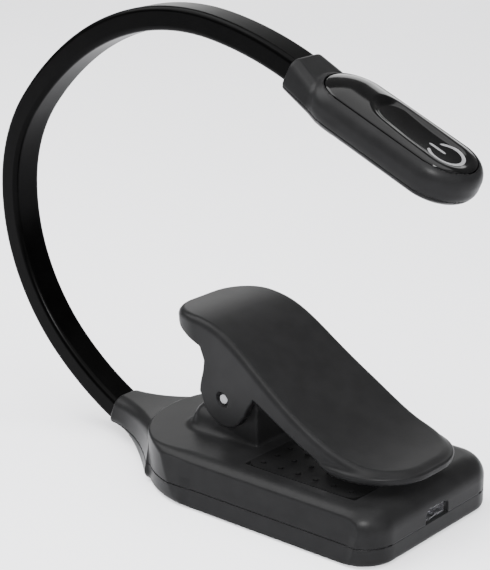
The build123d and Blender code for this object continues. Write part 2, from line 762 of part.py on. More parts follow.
def head_shells():
    """The head's upper shell and lower cover."""
    envelope = head_envelope()
    upper_half = box((-EXTRA, -EXTRA, HEAD_PARTING), (EXTRA, EXTRA, EXTRA))
    room = head_room()
    recess = slab(key_outline(KEY_CLEARANCE), KEY_FLOOR, EXTRA)
    bore = Rot(0, 90, 0) * Cylinder(ANCHOR_RADIUS, 2 * ANCHOR_LENGTH)
    bore = Pos(COLLAR_END, 0, NECK_OVER_HEAD) * bore
    top = envelope & upper_half
    top = top - room - recess - bore
    top -= Pos(ICON_X, 0, KEY_FLOOR) * Cylinder(1.5, 4.0)
    for x in HEAD_SCREW_PLACES:
        top += Pos(x, 0, HEAD_PARTING) * Cylinder(HEAD_BOSS_RADIUS, KEY_FLOOR - HEAD_PARTING, align=ON_FACE)
        top -= Pos(x, 0, HEAD_PARTING) * Cylinder(HEAD_SCREW_RADIUS + HOLE_FIT, 4.6)
    bottom = envelope - upper_half - room - bore
    bottom -= slab(lens_outline(0.05), -EXTRA, 0)
    for x in HEAD_SCREW_PLACES:
        bottom += Pos(x, 0, HEAD_PARTING - 0.7) * Cylinder(HEAD_BOSS_RADIUS, 1.4)
        bottom -= Pos(x, 0, HEAD_PARTING) * Cylinder(HEAD_SCREW_RADIUS + HOLE_FIT, 8.0)
        bottom -= Pos(x, 0, -HEAD_HALF_HEIGHT) * Cylinder(HEAD_SCREW_HEAD_RADIUS + HOLE_FIT, 1.6)
    return top, bottom


def lens():
    """Frosted lens over the LEDs."""
    return slab(lens_outline(), -HEAD_HALF_HEIGHT, -HEAD_HALF_HEIGHT + 1.2)


def head_board():
    """LED board across the head."""
    return slab(stadium(-34.0, -6.5, 6.0), -1.5, -0.6)


def led_places():
    """Centres of the LEDs along the head."""
    middle = -LENS_REAR_GAP - LENS_LENGTH / 2
    return [middle + LED_SPACING * (step - (LED_COUNT - 1) / 2) for step in range(LED_COUNT)]


def leds():
    """Surface-mounted LEDs under the board."""
    return Compound(children=[box((x - 1.5, -1.5, -2.4), (x + 1.5, 1.5, -1.5)) for x in led_places()])


def tact_switch():
    """Switch body on the board under the key."""
    body = box((ICON_X - 2.2, -2.2, -0.6), (ICON_X + 2.2, 2.2, 0.5))
    return body - Pos(ICON_X, 0, 0.5) * Cylinder(1.1, 1.4)


def switch_plunger():
    """Plunger that the key presses into the switch."""
    low = KEY_TRAVEL
    return Pos(ICON_X, 0, (low + KEY_BOTTOM) / 2) * Cylinder(0.95, KEY_BOTTOM - low)


def dish():
    """Round-bottomed channel worn into the key's front half for the fingertip."""
    axis_height = KEY_CROWN - DISH_DEPTH + DISH_RADIUS
    roller = Rot(0, 90, 0) * Cylinder(DISH_RADIUS, -DISH_REAR_X)
    return Pos(DISH_REAR_X / 2, 0, axis_height) * roller


def power_key():
    """Glossy press key that covers the head's top."""
    key = slab(key_outline(), KEY_BOTTOM, KEY_CROWN)
    key = fillet(key.edges().group_by(Axis.Z)[-1], KEY_EDGE_ROUND)
    return key - dish() - icon_solid()


def icon_solid():
    """Power symbol: an open ring and a bar, let into the key."""
    surface = KEY_CROWN - DISH_DEPTH
    ring = Circle(ICON_RADIUS) - Circle(ICON_RADIUS - ICON_STROKE)
    ring -= Pos(-ICON_RADIUS, 0) * Rectangle(2 * ICON_RADIUS, 3.4 * ICON_STROKE)
    bar = Pos(-ICON_RADIUS / 2 - 0.3, 0) * Rectangle(ICON_RADIUS, ICON_STROKE)
    ring_solid = Pos(ICON_X, 0, 0) * slab(ring, surface - ICON_DEPTH, surface + 0.05)
    bar_solid = Pos(ICON_X, 0, 0) * slab(bar, surface - ICON_DEPTH, surface + 0.05)
    return Compound(children=[ring_solid, bar_solid])


def head_screws():
    """The two screws that close the head from below."""
    screws = []
    for x in HEAD_SCREW_PLACES:
        head = Pos(x, 0, -HEAD_HALF_HEIGHT + 0.4) * Cylinder(HEAD_SCREW_HEAD_RADIUS, 0.8)
        shank = Pos(x, 0, -1.8) * Cylinder(HEAD_SCREW_RADIUS, 3.8)
        screws.append(head + shank)
    return Compound(children=screws)


# ---------------------------------------------------------------- assembly
def all_parts():
    """Every sub-part by node name."""
    base_top, base_bottom = base_shells()
    head_top, head_bottom = head_shells()
    parts = {
        "base_top_shell": base_top,
        "base_bottom_cover": base_bottom,
        "base_screws": base_screws(),
        "lower_grip_pad": lower_grip_pad(),
        "charge_board": charge_board(),
        "board_components": board_components(),
        "usb_socket_shell": socket_shell(),
        "usb_socket_tongue": socket_tongue(),
        "battery_cell": battery_cell(),
        "battery_leads": battery_leads(),
        "neck_anchor_lower": lower_anchor(),
        "pivot_pin": pivot_pin(),
        "torsion_spring": torsion_spring(),
        "clip_lever": clip_lever(),
        "jaw_pad": jaw_pad(),
    }
    for number in range(len(LINK_TURNS)):
        parts[f"neck_sleeve_{number + 1}"] = neck_sleeve(number)
        parts[f"neck_core_{number + 1}"] = neck_core(number)
        parts[f"neck_wires_{number + 1}"] = neck_wires(number)
    parts["neck_anchor_upper"] = upper_anchor()
    in_head_frame = {
        "head_top_shell": head_top,
        "head_bottom_cover": head_bottom,
        "led_lens": lens(),
        "leds": leds(),
        "head_board": head_board(),
        "tact_switch": tact_switch(),
        "head_screws": head_screws(),
        "power_key": power_key(),
        "power_icon": icon_solid(),
        "switch_plunger": switch_plunger(),
    }
    place = head_place()
    for name, shape in in_head_frame.items():
        parts[name] = place * shape
    return parts


os.makedirs("parts", exist_ok=True)
for node, shape in all_parts().items():
    export_step(shape, f"parts/{node}.step")
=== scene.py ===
"""Looks of the clip-on reading lamp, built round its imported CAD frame.

The big mouldings are made as smooth skins of distance fields: a field is a function of x, y, z
in millimetres that is negative inside the solid. Everything lies in the CAD's own frame.
"""
import json
import math

import bpy
import numpy as np
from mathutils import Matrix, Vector


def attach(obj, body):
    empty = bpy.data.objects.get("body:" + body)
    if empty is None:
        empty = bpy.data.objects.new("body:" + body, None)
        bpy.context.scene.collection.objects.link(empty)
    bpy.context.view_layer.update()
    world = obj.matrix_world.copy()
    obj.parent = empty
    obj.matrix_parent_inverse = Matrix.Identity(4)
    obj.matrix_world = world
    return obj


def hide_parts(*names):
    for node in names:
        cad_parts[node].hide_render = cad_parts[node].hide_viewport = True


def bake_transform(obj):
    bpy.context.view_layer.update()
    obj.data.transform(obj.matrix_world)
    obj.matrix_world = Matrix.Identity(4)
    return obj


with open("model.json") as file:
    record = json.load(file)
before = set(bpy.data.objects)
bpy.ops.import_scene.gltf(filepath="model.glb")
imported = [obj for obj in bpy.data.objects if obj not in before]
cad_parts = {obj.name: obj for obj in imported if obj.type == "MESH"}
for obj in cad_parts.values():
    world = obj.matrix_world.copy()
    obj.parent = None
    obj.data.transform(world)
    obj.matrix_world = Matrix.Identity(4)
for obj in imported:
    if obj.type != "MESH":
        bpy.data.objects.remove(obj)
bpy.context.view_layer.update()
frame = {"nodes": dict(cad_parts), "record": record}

MM = 0.001

# ---------------------------------------------------------------- dimensions in millimetres
# Most are the CAD's. Some differ a little, where these skins follow the lamp more closely.
HALF_LENGTH, HALF_WIDTH, BASE_HEIGHT, PARTING = 36.0, 23.0, 11.4, 4.1
FRONT_CORNER = 7.9
TOP_ROUND, RIM_ROUND, FOOT_ROUND = 4.7, 0.5, 1.2
SEAM_ROUND = 0.05
SNOUT_ROOT_X = -29.0
COVER_SCREWS, COVER_SCREW_HOLE = ((29.0, 16.5), (-22.0, 15.5)), 1.85
PAD_RECESS = (-1.5, -16.5, 10.4), (27.0, 16.5, 20.0)
SOCKET_HOLE = (28.0, -3.9, 1.0), (40.0, 3.9, 7.0)
PANEL_Y, PANEL_TOP, PANEL_LEAN = 21.6, 10.0, 0.14
STEP_Z, STEP_DEPTH, STEP_REAR, STEP_FRONT = 6.5, 0.34, -14.0, 32.2
PIN_X, PIN_Z, PIN_RADIUS = -11.4, 21.8, 1.25
BLOCK_HALF_WIDTH, BLOCK_REAR_X, BLOCK_FRONT_X = 8.6, -24.4, -4.8
BLOCK_TOP, BLOCK_FRONT_TOP = 16.4, 19.6
BARREL_RADIUS, SLOT_HALF_WIDTH, SLOT_FLOOR = 6.6, 3.7, 13.6
EAR_RADIUS, LEVER_WALL, LEVER_NOSE_X = 6.5, 2.3, 35.0
LEVER_REAR_HALF, LEVER_NOSE_HALF = 10.9, 14.8
SPRING_RADIUS, SPRING_WIRE, SPRING_HALF_WIDTH, SPRING_TURNS = 3.4, 0.55, 2.7, 4
UPPER_LEG, LOWER_LEG = (127.0, 13.6), (201.0, 11.5)
LEVER_REAR_TIP, LEVER_REAR_ROUND, LEVER_NOSE_ROUND, CROWN_ROUND = -28.1, 9.6, 12.5, 1.7
LEVER_DRAFT, LEVER_DRAFT_FROM_Z = math.tan(math.radians(5.5)), 14.0
NOSE_UNDERSIDE = 13.9
LEVER_TOP_X = (-26.9, -20.0, -11.8, 0.0, 11.2, 20.6, 35.2)
LEVER_TOP_Z = (39.0, 39.2, 37.7, 30.4, 23.2, 18.5, 15.9)
NECK_START, NECK_HEADING, SNOUT_FACE = (-52.3, 6.2), 153.6, 168.0
LINK_LENGTH, LINK_TURNS = 21.06, (17.0, 24.0, 27.0, 34.0, 17.0, 21.0, 23.0, 14.0)
NECK_WIDTH, NECK_THICKNESS, NECK_CORNER = 7.8, 5.3, 1.2
NECK_IN_SNOUT, NECK_IN_COLLAR = 1.2, 2.6
END_BLEND, LINK_BLEND = 9.0, 9.6
HEAD_LENGTH, HEAD_HALF_WIDTH, HEAD_HALF_HEIGHT, HEAD_PARTING = 40.4, 9.1, 4.1, -2.2
COLLAR_END, COLLAR_LIP, NECK_OVER_HEAD = -47.0, -45.7, 0.4
KEY_INSET, KEY_GAP, KEY_SEAM_Z, KEY_BOTTOM = 2.0, 0.22, 3.55, 2.2
ICON_X, ICON_R = -8.4, 3.55
LENS_REAR_X, LENS_FRONT_X, LENS_HALF_WIDTH = -34.3, -6.3, 5.3
HEAD_SCREWS, HEAD_SCREW_HOLE = (-36.6, -3.9), 1.45


# spacing of each skin's grid
BASE_GRID, LEVER_GRID, HEAD_GRID, KEY_GRID = 0.38, 0.36, 0.28, 0.24


# ---------------------------------------------------------------- distance-field helpers
def meet(a, b, radius=0.0):
    """What both fields share, its edge rounded."""
    if np.isscalar(radius) and radius == 0:
        return np.maximum(a, b)
    u, v = np.maximum(a + radius, 0), np.maximum(b + radius, 0)
    return np.minimum(np.maximum(a, b), -radius) + np.sqrt(u * u + v * v)


def join(a, b, radius=0.0):
    """Both fields together, the corner between them filled."""
    return -meet(-a, -b, radius)


def cut(a, b, radius=0.0):
    """The first field without the second."""
    return meet(a, -b, radius)


def ease(x, low, high):
    """0 below low, 1 above high, smooth between."""
    t = np.clip((x - low) / (high - low), 0, 1)
    return t * t * (3 - 2 * t)


def brick(x, y, z, low, high, radius=0.0):
    """A box with rounded edges."""
    d = np.maximum(low[0] - x, x - high[0])
    d = meet(d, np.maximum(low[1] - y, y - high[1]), radius)
    return meet(d, np.maximum(low[2] - z, z - high[2]), radius)


def stadium(x, y, rear, front, half):
    """Distance outside a long rounded outline."""
    along = x - np.clip(x, rear + half, front - half)
    return np.sqrt(along**2 + y**2) - half


def polygon(points, u, v):
    """Signed distance to a closed polygon in two coordinates."""
    best, sign = None, 1.0
    for (ax, ay), (bx, by) in zip(points, points[1:] + points[:1]):
        ex, ey, wx, wy = bx - ax, by - ay, u - ax, v - ay
        t = np.clip((wx * ex + wy * ey) / (ex * ex + ey * ey), 0, 1)
        near = (wx - ex * t) ** 2 + (wy - ey * t) ** 2
        best = near if best is None else np.minimum(best, near)
        up, down = (v >= ay) & (v < by), (v < ay) & (v >= by)
        side = ex * wy - ey * wx
        sign = np.where((up & (side > 0)) | (down & (side < 0)), -sign, sign)
    return sign * np.sqrt(best)


def curve(xs, zs):
    """A smooth function through points, with its slope, as a natural cubic spline."""
    xs, zs = np.array(xs), np.array(zs)
    h = np.diff(xs)
    n = len(xs)
    a, rhs = np.eye(n), np.zeros(n)
    for i in range(1, n - 1):
        a[i, i - 1:i + 2] = h[i - 1], 2 * (h[i - 1] + h[i]), h[i]
        rhs[i] = 6 * ((zs[i + 1] - zs[i]) / h[i] - (zs[i] - zs[i - 1]) / h[i - 1])
    m = np.linalg.solve(a, rhs)

    def value(x):
        i = np.clip(np.searchsorted(xs, x) - 1, 0, n - 2)
        p, q = xs[i + 1] - x, x - xs[i]
        z = (m[i] * p**3 + m[i + 1] * q**3) / (6 * h[i])
        z += (zs[i] / h[i] - m[i] * h[i] / 6) * p + (zs[i + 1] / h[i] - m[i + 1] * h[i] / 6) * q
        slope = (m[i + 1] * q**2 - m[i] * p**2) / (2 * h[i]) + (zs[i + 1] - zs[i]) / h[i]
        return z, slope - (m[i + 1] - m[i]) * h[i] / 6

    return value


def skin(field, low, high, step):
    """Quads over the field's zero surface, as (points, faces, normals), in millimetres."""
    axes = [np.arange(a, b + step, step) for a, b in zip(low, high)]
    shape = tuple(len(a) for a in axes)
    x, y, z = axes[0][:, None, None], axes[1][None, :, None], axes[2][None, None, :]
    grid = np.broadcast_to(field(x, y, z), shape).astype(np.float32)
    inside = grid < 0
    cells = tuple(n - 1 for n in shape)
    total, count = np.zeros(cells + (3,), np.float32), np.zeros(cells, np.float32)
    for axis in range(3):
        others = [i for i in range(3) if i != axis]
        for one in (0, 1):
            for two in (0, 1):
                begin = [0, 0, 0]
                begin[others[0]], begin[others[1]] = one, two
                first = tuple(slice(b, b + n) for b, n in zip(begin, cells))
                begin[axis] = 1
                second = tuple(slice(b, b + n) for b, n in zip(begin, cells))
                crossed = inside[first] != inside[second]
                a, b = grid[first][crossed], grid[second][crossed]
                spot = np.zeros((len(a), 3), np.float32)
                spot[:, others[0]], spot[:, others[1]] = one, two
                spot[:, axis] = a / (a - b)
                total[crossed] += spot
                count[crossed] += 1
    used = count > 0
    ids = np.full(cells, -1, np.int64)
    ids[used] = np.arange(used.sum())
    corner = np.argwhere(used)
    points = (corner + total[used] / count[used][:, None]) * step + np.array([a[0] for a in axes])
    faces = []
    for axis in range(3):
        u, v = (axis + 1) % 3, (axis + 2) % 3
        a = [slice(1, -1)] * 3
        b = [slice(1, -1)] * 3
        a[axis], b[axis] = slice(0, -1), slice(1, None)
        start = inside[tuple(a)]
        spots = np.argwhere(start != inside[tuple(b)])
        outward = start[tuple(spots.T)]
        spots[:, u] += 1
        spots[:, v] += 1
        ring = []
        for du, dv in ((-1, -1), (0, -1), (0, 0), (-1, 0)):
            cell = spots.copy()
            cell[:, u] += du
            cell[:, v] += dv
            ring.append(ids[tuple(cell.T)])
        quad = np.stack(ring, 1)
        quad[~outward] = quad[~outward][:, ::-1]
        faces.append(quad)
    for _ in range(3):
        value, slope = gradient(field, points, 0.02)
        points = points - np.clip(value, -step, step)[:, None] * slope
    return points, np.vstack(faces).tolist(), gradient(field, points, 0.06)[1]


def gradient(field, points, reach):
    """The field's value and unit slope at points."""
    x, y, z = points.T
    value = field(x, y, z)
    slope = np.stack([
        field(x + reach, y, z) - field(x - reach, y, z),
        field(x, y + reach, z) - field(x, y - reach, z),
        field(x, y, z + reach) - field(x, y, z - reach),
    ], 1)
    return value, slope / np.maximum(np.linalg.norm(slope, axis=1), 1e-9)[:, None]


# ---------------------------------------------------------------- objects
def mesh_object(name, points, faces, normals, place=None):
    """A smooth-shaded object from millimetre points, carried to its place."""
    points, normals = np.asarray(points, float), np.asarray(normals, float)
    if place is not None:
        points = points @ place[0].T + place[1]
        normals = normals @ place[0].T
    mesh = bpy.data.meshes.new(name)
    mesh.from_pydata((points * MM).tolist(), [], faces)
    mesh.shade_smooth()
    mesh.normals_split_custom_set_from_vertices(normals.tolist())
    piece = bpy.data.objects.new(name, mesh)
    bpy.context.scene.collection.objects.link(piece)
    return piece


def dress(piece, body, slot, *nodes):
    """Gives a piece its body and its finish, and hides the CAD nodes that it stands for."""
    piece.data.materials.append(finishes[slot])
    if body:
        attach(piece, body)
    if nodes:
        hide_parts(*nodes)
    return piece


# ---------------------------------------------------------------- finishes
def finish(name, dark, light, rough, grain=900.0, bump=0.04, metal=0.0, gloss=0.5, **sockets):
    """A moulded, sprayed or plated finish: two close tones, uneven gloss and a fine grain."""
    made = bpy.data.materials.new(name)
    made.use_nodes = True
    nodes, links = made.node_tree.nodes, made.node_tree.links
    shader = nodes["Principled BSDF"]
    where = nodes.new("ShaderNodeTexCoord")

    def noise(scale, detail):
        made_noise = nodes.new("ShaderNodeTexNoise")
        made_noise.inputs["Scale"].default_value = scale
        made_noise.inputs["Detail"].default_value = detail
        links.new(where.outputs["Object"], made_noise.inputs["Vector"])
        return made_noise.outputs["Fac"]

    ramp = nodes.new("ShaderNodeValToRGB")
    ramp.color_ramp.elements[0].position, ramp.color_ramp.elements[1].position = 0.35, 0.65
    ramp.color_ramp.elements[0].color = (*dark, 1)
    ramp.color_ramp.elements[1].color = (*light, 1)
    links.new(noise(grain * 0.25, 3.0), ramp.inputs["Fac"])
    links.new(ramp.outputs["Color"], shader.inputs["Base Color"])
    spread = nodes.new("ShaderNodeMapRange")
    spread.inputs["To Min"].default_value = rough[0]
    spread.inputs["To Max"].default_value = rough[1]
    links.new(noise(grain * 0.12, 2.0), spread.inputs["Value"])
    links.new(spread.outputs["Result"], shader.inputs["Roughness"])
    relief = nodes.new("ShaderNodeBump")
    relief.inputs["Strength"].default_value = bump
    relief.inputs["Distance"].default_value = 0.0001
    links.new(noise(grain * 4, 1.0), relief.inputs["Height"])
    links.new(relief.outputs["Normal"], shader.inputs["Normal"])
    shader.inputs["Metallic"].default_value = metal
    shader.inputs["Specular IOR Level"].default_value = gloss
    for socket, value in sockets.items():
        shader.inputs[socket.replace("_", " ")].default_value = value
    return made


def grey(value):
    """A neutral colour."""
    return (value, value, value * 1.03)


finishes = {
    "shell_plastic": finish(
        "shell_plastic", grey(0.0076), grey(0.0092), (0.33, 0.40), bump=0.10, gloss=0.06),
    "gloss_black": finish("gloss_black", grey(0.002), grey(0.003), (0.10, 0.14), bump=0.0, gloss=0.15),
    "icon_silver": finish("icon_silver", grey(0.17), grey(0.21), (0.30, 0.40), metal=0.2),
    "grip_rubber": finish(
        "grip_rubber", grey(0.0040), grey(0.0052), (0.55, 0.68), bump=0.25, gloss=0.05),
    "sleeve_rubber": finish(
        "sleeve_rubber", grey(0.0004), grey(0.0007), (0.26, 0.32), bump=0.06, gloss=0.03),
    "bright_steel": finish("bright_steel", grey(0.15), grey(0.24), (0.34, 0.44), metal=1.0),
    "wire_insulation": finish("wire_insulation", (0.25, 0.01, 0.01), (0.3, 0.02, 0.02), (0.4, 0.5)),
    "screw_steel": finish("screw_steel", grey(0.30), grey(0.38), (0.25, 0.38), metal=1.0),
    "anchor_brass": finish("anchor_brass", (0.5, 0.33, 0.12), (0.6, 0.42, 0.17), (0.25, 0.35), metal=1.0),
    "board_green": finish("board_green", (0.01, 0.07, 0.025), (0.015, 0.1, 0.035), (0.35, 0.45)),
    "component_black": finish("component_black", grey(0.012), grey(0.02), (0.5, 0.6)),
    "socket_steel": finish("socket_steel", grey(0.66), grey(0.74), (0.16, 0.24), metal=1.0),
    "cell_foil": finish("cell_foil", grey(0.50), grey(0.60), (0.3, 0.45), metal=0.9),
    "lens_frosted": finish("lens_frosted", grey(0.62), grey(0.70), (0.45, 0.55), Transmission_Weight=0.35),
    "led_ceramic": finish("led_ceramic", (0.8, 0.75, 0.5), (0.85, 0.82, 0.6), (0.4, 0.5)),
}

slot_of = {part["node"]: part["material_slot"] for part in frame["record"]["subparts"]}
for node, piece in frame["nodes"].items():
    piece.data.materials.clear()
    piece.data.materials.append(finishes[slot_of[node]])


# ---------------------------------------------------------------- base
def base_plan(x, y):
    """Distance outside the base's outline: round behind, square in front."""
    behind = np.sqrt((x + HALF_LENGTH - HALF_WIDTH) ** 2 + y**2) - HALF_WIDTH
    qx = x - (HALF_LENGTH - FRONT_CORNER)
    qy = np.abs(y) - (HALF_WIDTH - FRONT_CORNER)
    ahead = np.sqrt(np.maximum(qx, 0) ** 2 + np.maximum(qy, 0) ** 2)
    ahead = ahead + np.minimum(np.maximum(qx, qy), 0) - FRONT_CORNER
    return np.where(x < HALF_WIDTH - HALF_LENGTH, behind, ahead)


def snout(x, y, z):
    """Flared snout that the neck comes out of."""
    t = np.clip((x - SNOUT_ROOT_X) / (NECK_START[0] - SNOUT_ROOT_X), 0, 1.1)
    half = 4.7 + 12.6 * np.maximum(1 - t, 0) ** 1.7
    top = 10.5 - 0.7 * t - 0.5 * np.sin(np.pi * np.clip(t, 0, 1))
    bottom = 0.4 + 2.7 * ease(t, 0.1, 0.95)
    side = (np.abs(y) - half) * 0.9 + 0.22 * (z - (top + bottom) / 2)
    around = meet(side, np.maximum(z - top, bottom - z), 2.1)
    a = math.radians(SNOUT_FACE)
    end = (x - NECK_START[0]) * math.cos(a) + (z - NECK_START[1]) * math.sin(a)
    return meet(meet(around, end + 0.3, 0.8), x + 20.0)


def pivot_block(x, y, z):
    """Block between the ears, round about the pin."""
    low_part = meet(np.maximum(BLOCK_REAR_X - 0.6 - x, x - BLOCK_FRONT_X), z - BLOCK_TOP, 3.6)
    tall_part = np.maximum(np.maximum(PIN_X - x, x - BLOCK_FRONT_X), z - BLOCK_FRONT_TOP)
    drum = np.sqrt((x - PIN_X) ** 2 + (z - PIN_Z) ** 2) - BARREL_RADIUS
    profile = join(join(low_part, tall_part), drum, 1.0)
    rear = 0.6 + 3.9 * ease(-x, -PIN_X, -PIN_X + 7)
    return meet(meet(profile, np.abs(y) - BLOCK_HALF_WIDTH, rear), 6.0 - z)


def base_form(x, y, z):
    """The closed base's outer form."""
    plan = base_plan(x, y)
    panel = np.abs(y) - PANEL_Y - PANEL_LEAN * np.maximum(PANEL_TOP - z, 0)
    top_round = RIM_ROUND + (TOP_ROUND - RIM_ROUND) * ease(x, -27.0, -12.0)
    body = meet(plan, z - BASE_HEIGHT, top_round)
    body = meet(body, -z, FOOT_ROUND)
    body = meet(body, panel, 0.12)
    fade = ease(x, STEP_REAR - 1.5, STEP_REAR + 2) * ease(-x, -STEP_FRONT, 3 - STEP_FRONT)
    body = np.where(z < STEP_Z, meet(body, panel + STEP_DEPTH * fade), body)
    body = join(body, snout(x, y, z), 0.4)
    return join(body, pivot_block(x, y, z), 0.7 + 1.7 * ease(-x, 5.0, 15.0))


def upper_shell(x, y, z):
    """Top moulding with its spring slot, pad recess and socket hole."""
    form = meet(base_form(x, y, z), PARTING - z, SEAM_ROUND)
    slot_high = (PIN_X + BARREL_RADIUS - 2, SLOT_HALF_WIDTH, 60)
    form = cut(form, brick(x, y, z, (BLOCK_REAR_X + 2, -SLOT_HALF_WIDTH, SLOT_FLOOR), slot_high), 0.15)
    form = cut(form, brick(x, y, z, *PAD_RECESS, 0.4), 0.1)
    form = cut(form, brick(x, y, z, *SOCKET_HOLE, 1.1), 0.12)
    bore = np.sqrt((x - PIN_X) ** 2 + (z - PIN_Z) ** 2) - PIN_RADIUS
    return cut(form, bore)


def lower_cover(x, y, z):
    """Bottom cover below the seam."""
    form = meet(base_form(x, y, z), z - PARTING, SEAM_ROUND)
    for sx, sy in COVER_SCREWS:
        hole = np.sqrt((x - sx) ** 2 + (np.abs(y) - sy) ** 2) - COVER_SCREW_HOLE
        form = cut(form, meet(hole, z - 1.3), 0.1)
    return form


low, high = (-56.0, -23.6, -0.6), (36.8, 23.6, 29.2)
shell = mesh_object("base_shell_upper", *skin(upper_shell, (low[0], low[1], 3.4), high, BASE_GRID))
dress(shell, "base", "shell_plastic", "base_top_shell")
cover = mesh_object("base_shell_lower", *skin(lower_cover, low, (high[0], high[1], 5.0), BASE_GRID))
dress(cover, "base", "shell_plastic", "base_bottom_cover")


# ---------------------------------------------------------------- lever
lever_top = curve(LEVER_TOP_X, LEVER_TOP_Z)


def lever_half(x):
    """Half the lever's width low down, from the finger pad to the nose."""
    return LEVER_REAR_HALF + (LEVER_NOSE_HALF - LEVER_REAR_HALF) * ease(x, -22.0, 20.0)


def lever_form(x, y, z, inset):
    """The lever without its hollow, drawn in by inset."""
    height, slope = lever_top(x)
    crown = (z - height + inset) / np.sqrt(1 + slope**2)
    shift = LEVER_DRAFT * (z - LEVER_DRAFT_FROM_Z)
    wall = np.abs(y) - lever_half(x) - shift + inset
    plan = meet(wall, LEVER_REAR_TIP + inset - x, LEVER_REAR_ROUND)
    plan = meet(plan, x - LEVER_NOSE_X + inset - 0.2, LEVER_NOSE_ROUND)
    if inset:
        return meet(plan, crown, 0.6)
    near = ease(x, 8, 24)
    upper = meet(plan + 0.6 * near, crown, CROWN_ROUND)
    lip = meet(plan - 0.3 * near, z - NOSE_UNDERSIDE - 1.6, 0.5)
    return join(upper, meet(lip, 8.0 - x), 1.0)


def lever(x, y, z):
    """One-piece clip lever with finger pad, ears and nose."""
    outer = lever_form(x, y, z, 0.0)
    under = polygon(
        [(-30.0, 37.0), (-22.0, 34.4), (-17.4, 32.6), (-16.4, 29.6), (-18.0, 22.0), (-5.2, 19.6),
         (-1.6, 24.4), (20.0, NOSE_UNDERSIDE), (40.0, NOSE_UNDERSIDE), (40.0, 60.0), (-30.0, 60.0)],
        x, z,
    )
    ear = np.sqrt((x - PIN_X) ** 2 + (z - PIN_Z) ** 2) - EAR_RADIUS
    profile = join(under, ear, 1.2)
    solid = meet(outer, profile, 0.45)
    hollow = lever_form(x, y, z, LEVER_WALL)
    solid = cut(solid, hollow, 0.2)
    bore = np.sqrt((x - PIN_X) ** 2 + (z - PIN_Z) ** 2) - PIN_RADIUS - 0.12
    rim = meet(bore - 0.3, lever_half(x) + LEVER_DRAFT * (z - LEVER_DRAFT_FROM_Z) - 0.5 - np.abs(y))
    return cut(cut(solid, bore), rim, 0.08)


piece = mesh_object("lever_moulding", *skin(lever, (-28.2, -17.4, 12.6), (36.4, 17.4, 40.6), LEVER_GRID))
dress(piece, "lever", "shell_plastic", "clip_lever")


# ---------------------------------------------------------------- neck
def heading_vector(degrees):
    """Unit vector in the X-Z plane, from +X towards +Z."""
    return np.array([math.cos(math.radians(degrees)), 0.0, math.sin(math.radians(degrees))])


def neck_point(s):
    """Centre and heading of the neck at distance s along it."""
    spot, heading = np.array([NECK_START[0], 0.0, NECK_START[1]]), NECK_HEADING
    if s < 0:
        return spot + heading_vector(heading) * s, heading
    for turn in LINK_TURNS:
        part = min(s, LINK_LENGTH)
        angle = turn * part / LINK_LENGTH
        chord = part * np.sinc(math.radians(angle / 2) / np.pi)
        spot = spot + heading_vector(heading - angle / 2) * chord
        heading -= angle
        s -= part
        if s <= 0:
            return spot, heading
    return spot + heading_vector(heading) * s, heading


def neck_outline():
    """Rounded flat section of the neck: (across, up, normal across, normal up)."""
    rows = []
    half_w, half_t = NECK_WIDTH / 2 - NECK_CORNER, NECK_THICKNESS / 2 - NECK_CORNER
    for quarter, (sx, sz) in enumerate(((1, 1), (-1, 1), (-1, -1), (1, -1))):
        for step in range(8):
            a = math.radians(90 * quarter + 90 * step / 7)
            ca, sa = math.cos(a), math.sin(a)
            rows.append((sx * half_w + NECK_CORNER * ca, sz * half_t + NECK_CORNER * sa, ca, sa))
    return rows


def neck_piece(name, start, end):
    """Sleeve skin between two distances along the neck."""
    rings = max(4, round((end - start) / 0.6))
    outline = neck_outline()
    points, normals, faces = [], [], []
    for k in range(rings + 1):
        spot, heading = neck_point(start + (end - start) * k / rings)
        up = heading_vector(heading + 90)
        for across, rise, na, nu in outline:
            points.append(spot + np.array([0, across, 0]) + up * rise)
            normals.append(np.array([0, na, 0]) + up * nu)
    n = len(outline)
    for k in range(rings):
        for i in range(n):
            j = (i + 1) % n
            faces.append((k * n + i, k * n + j, k * n + n + j, k * n + n + i))
    return mesh_object(name, points, faces, normals)


# ---------------------------------------------------------------- torsion spring
def tube(name, path, radius):
    """A round wire along a path that never runs along Y, with tapered ends."""
    path = np.array(path)
    along = np.gradient(path, axis=0)
    along /= np.linalg.norm(along, axis=1)[:, None]
    side = np.cross(along, [0.0, 1.0, 0.0])
    side /= np.linalg.norm(side, axis=1)[:, None]
    up = np.cross(side, along)
    first_cap, last_cap = path[0] - along[0] * radius * 0.7, path[-1] + along[-1] * radius * 0.7
    centres = [first_cap, path[0], *path[1:-1], path[-1], last_cap]
    rows = [0, 0, *range(1, len(path) - 1), len(path) - 1, len(path) - 1]
    sizes = [radius * 0.5] + [radius] * (len(rows) - 2) + [radius * 0.5]
    points, normals, faces = [], [], []
    n = 14
    for centre, row, size in zip(centres, rows, sizes):
        for a in np.linspace(0, 2 * math.pi, n, endpoint=False):
            out = side[row] * math.cos(a) + up[row] * math.sin(a)
            points.append(centre + out * size)
            normals.append(out)
    for k in range(len(rows) - 1):
        for i in range(n):
            j = (i + 1) % n
            faces.append((k * n + i, k * n + j, k * n + n + j, k * n + n + i))
    faces.append(tuple(reversed(range(n))))
    faces.append(tuple(range(len(points) - n, len(points))))
    return mesh_object(name, points, faces, normals)


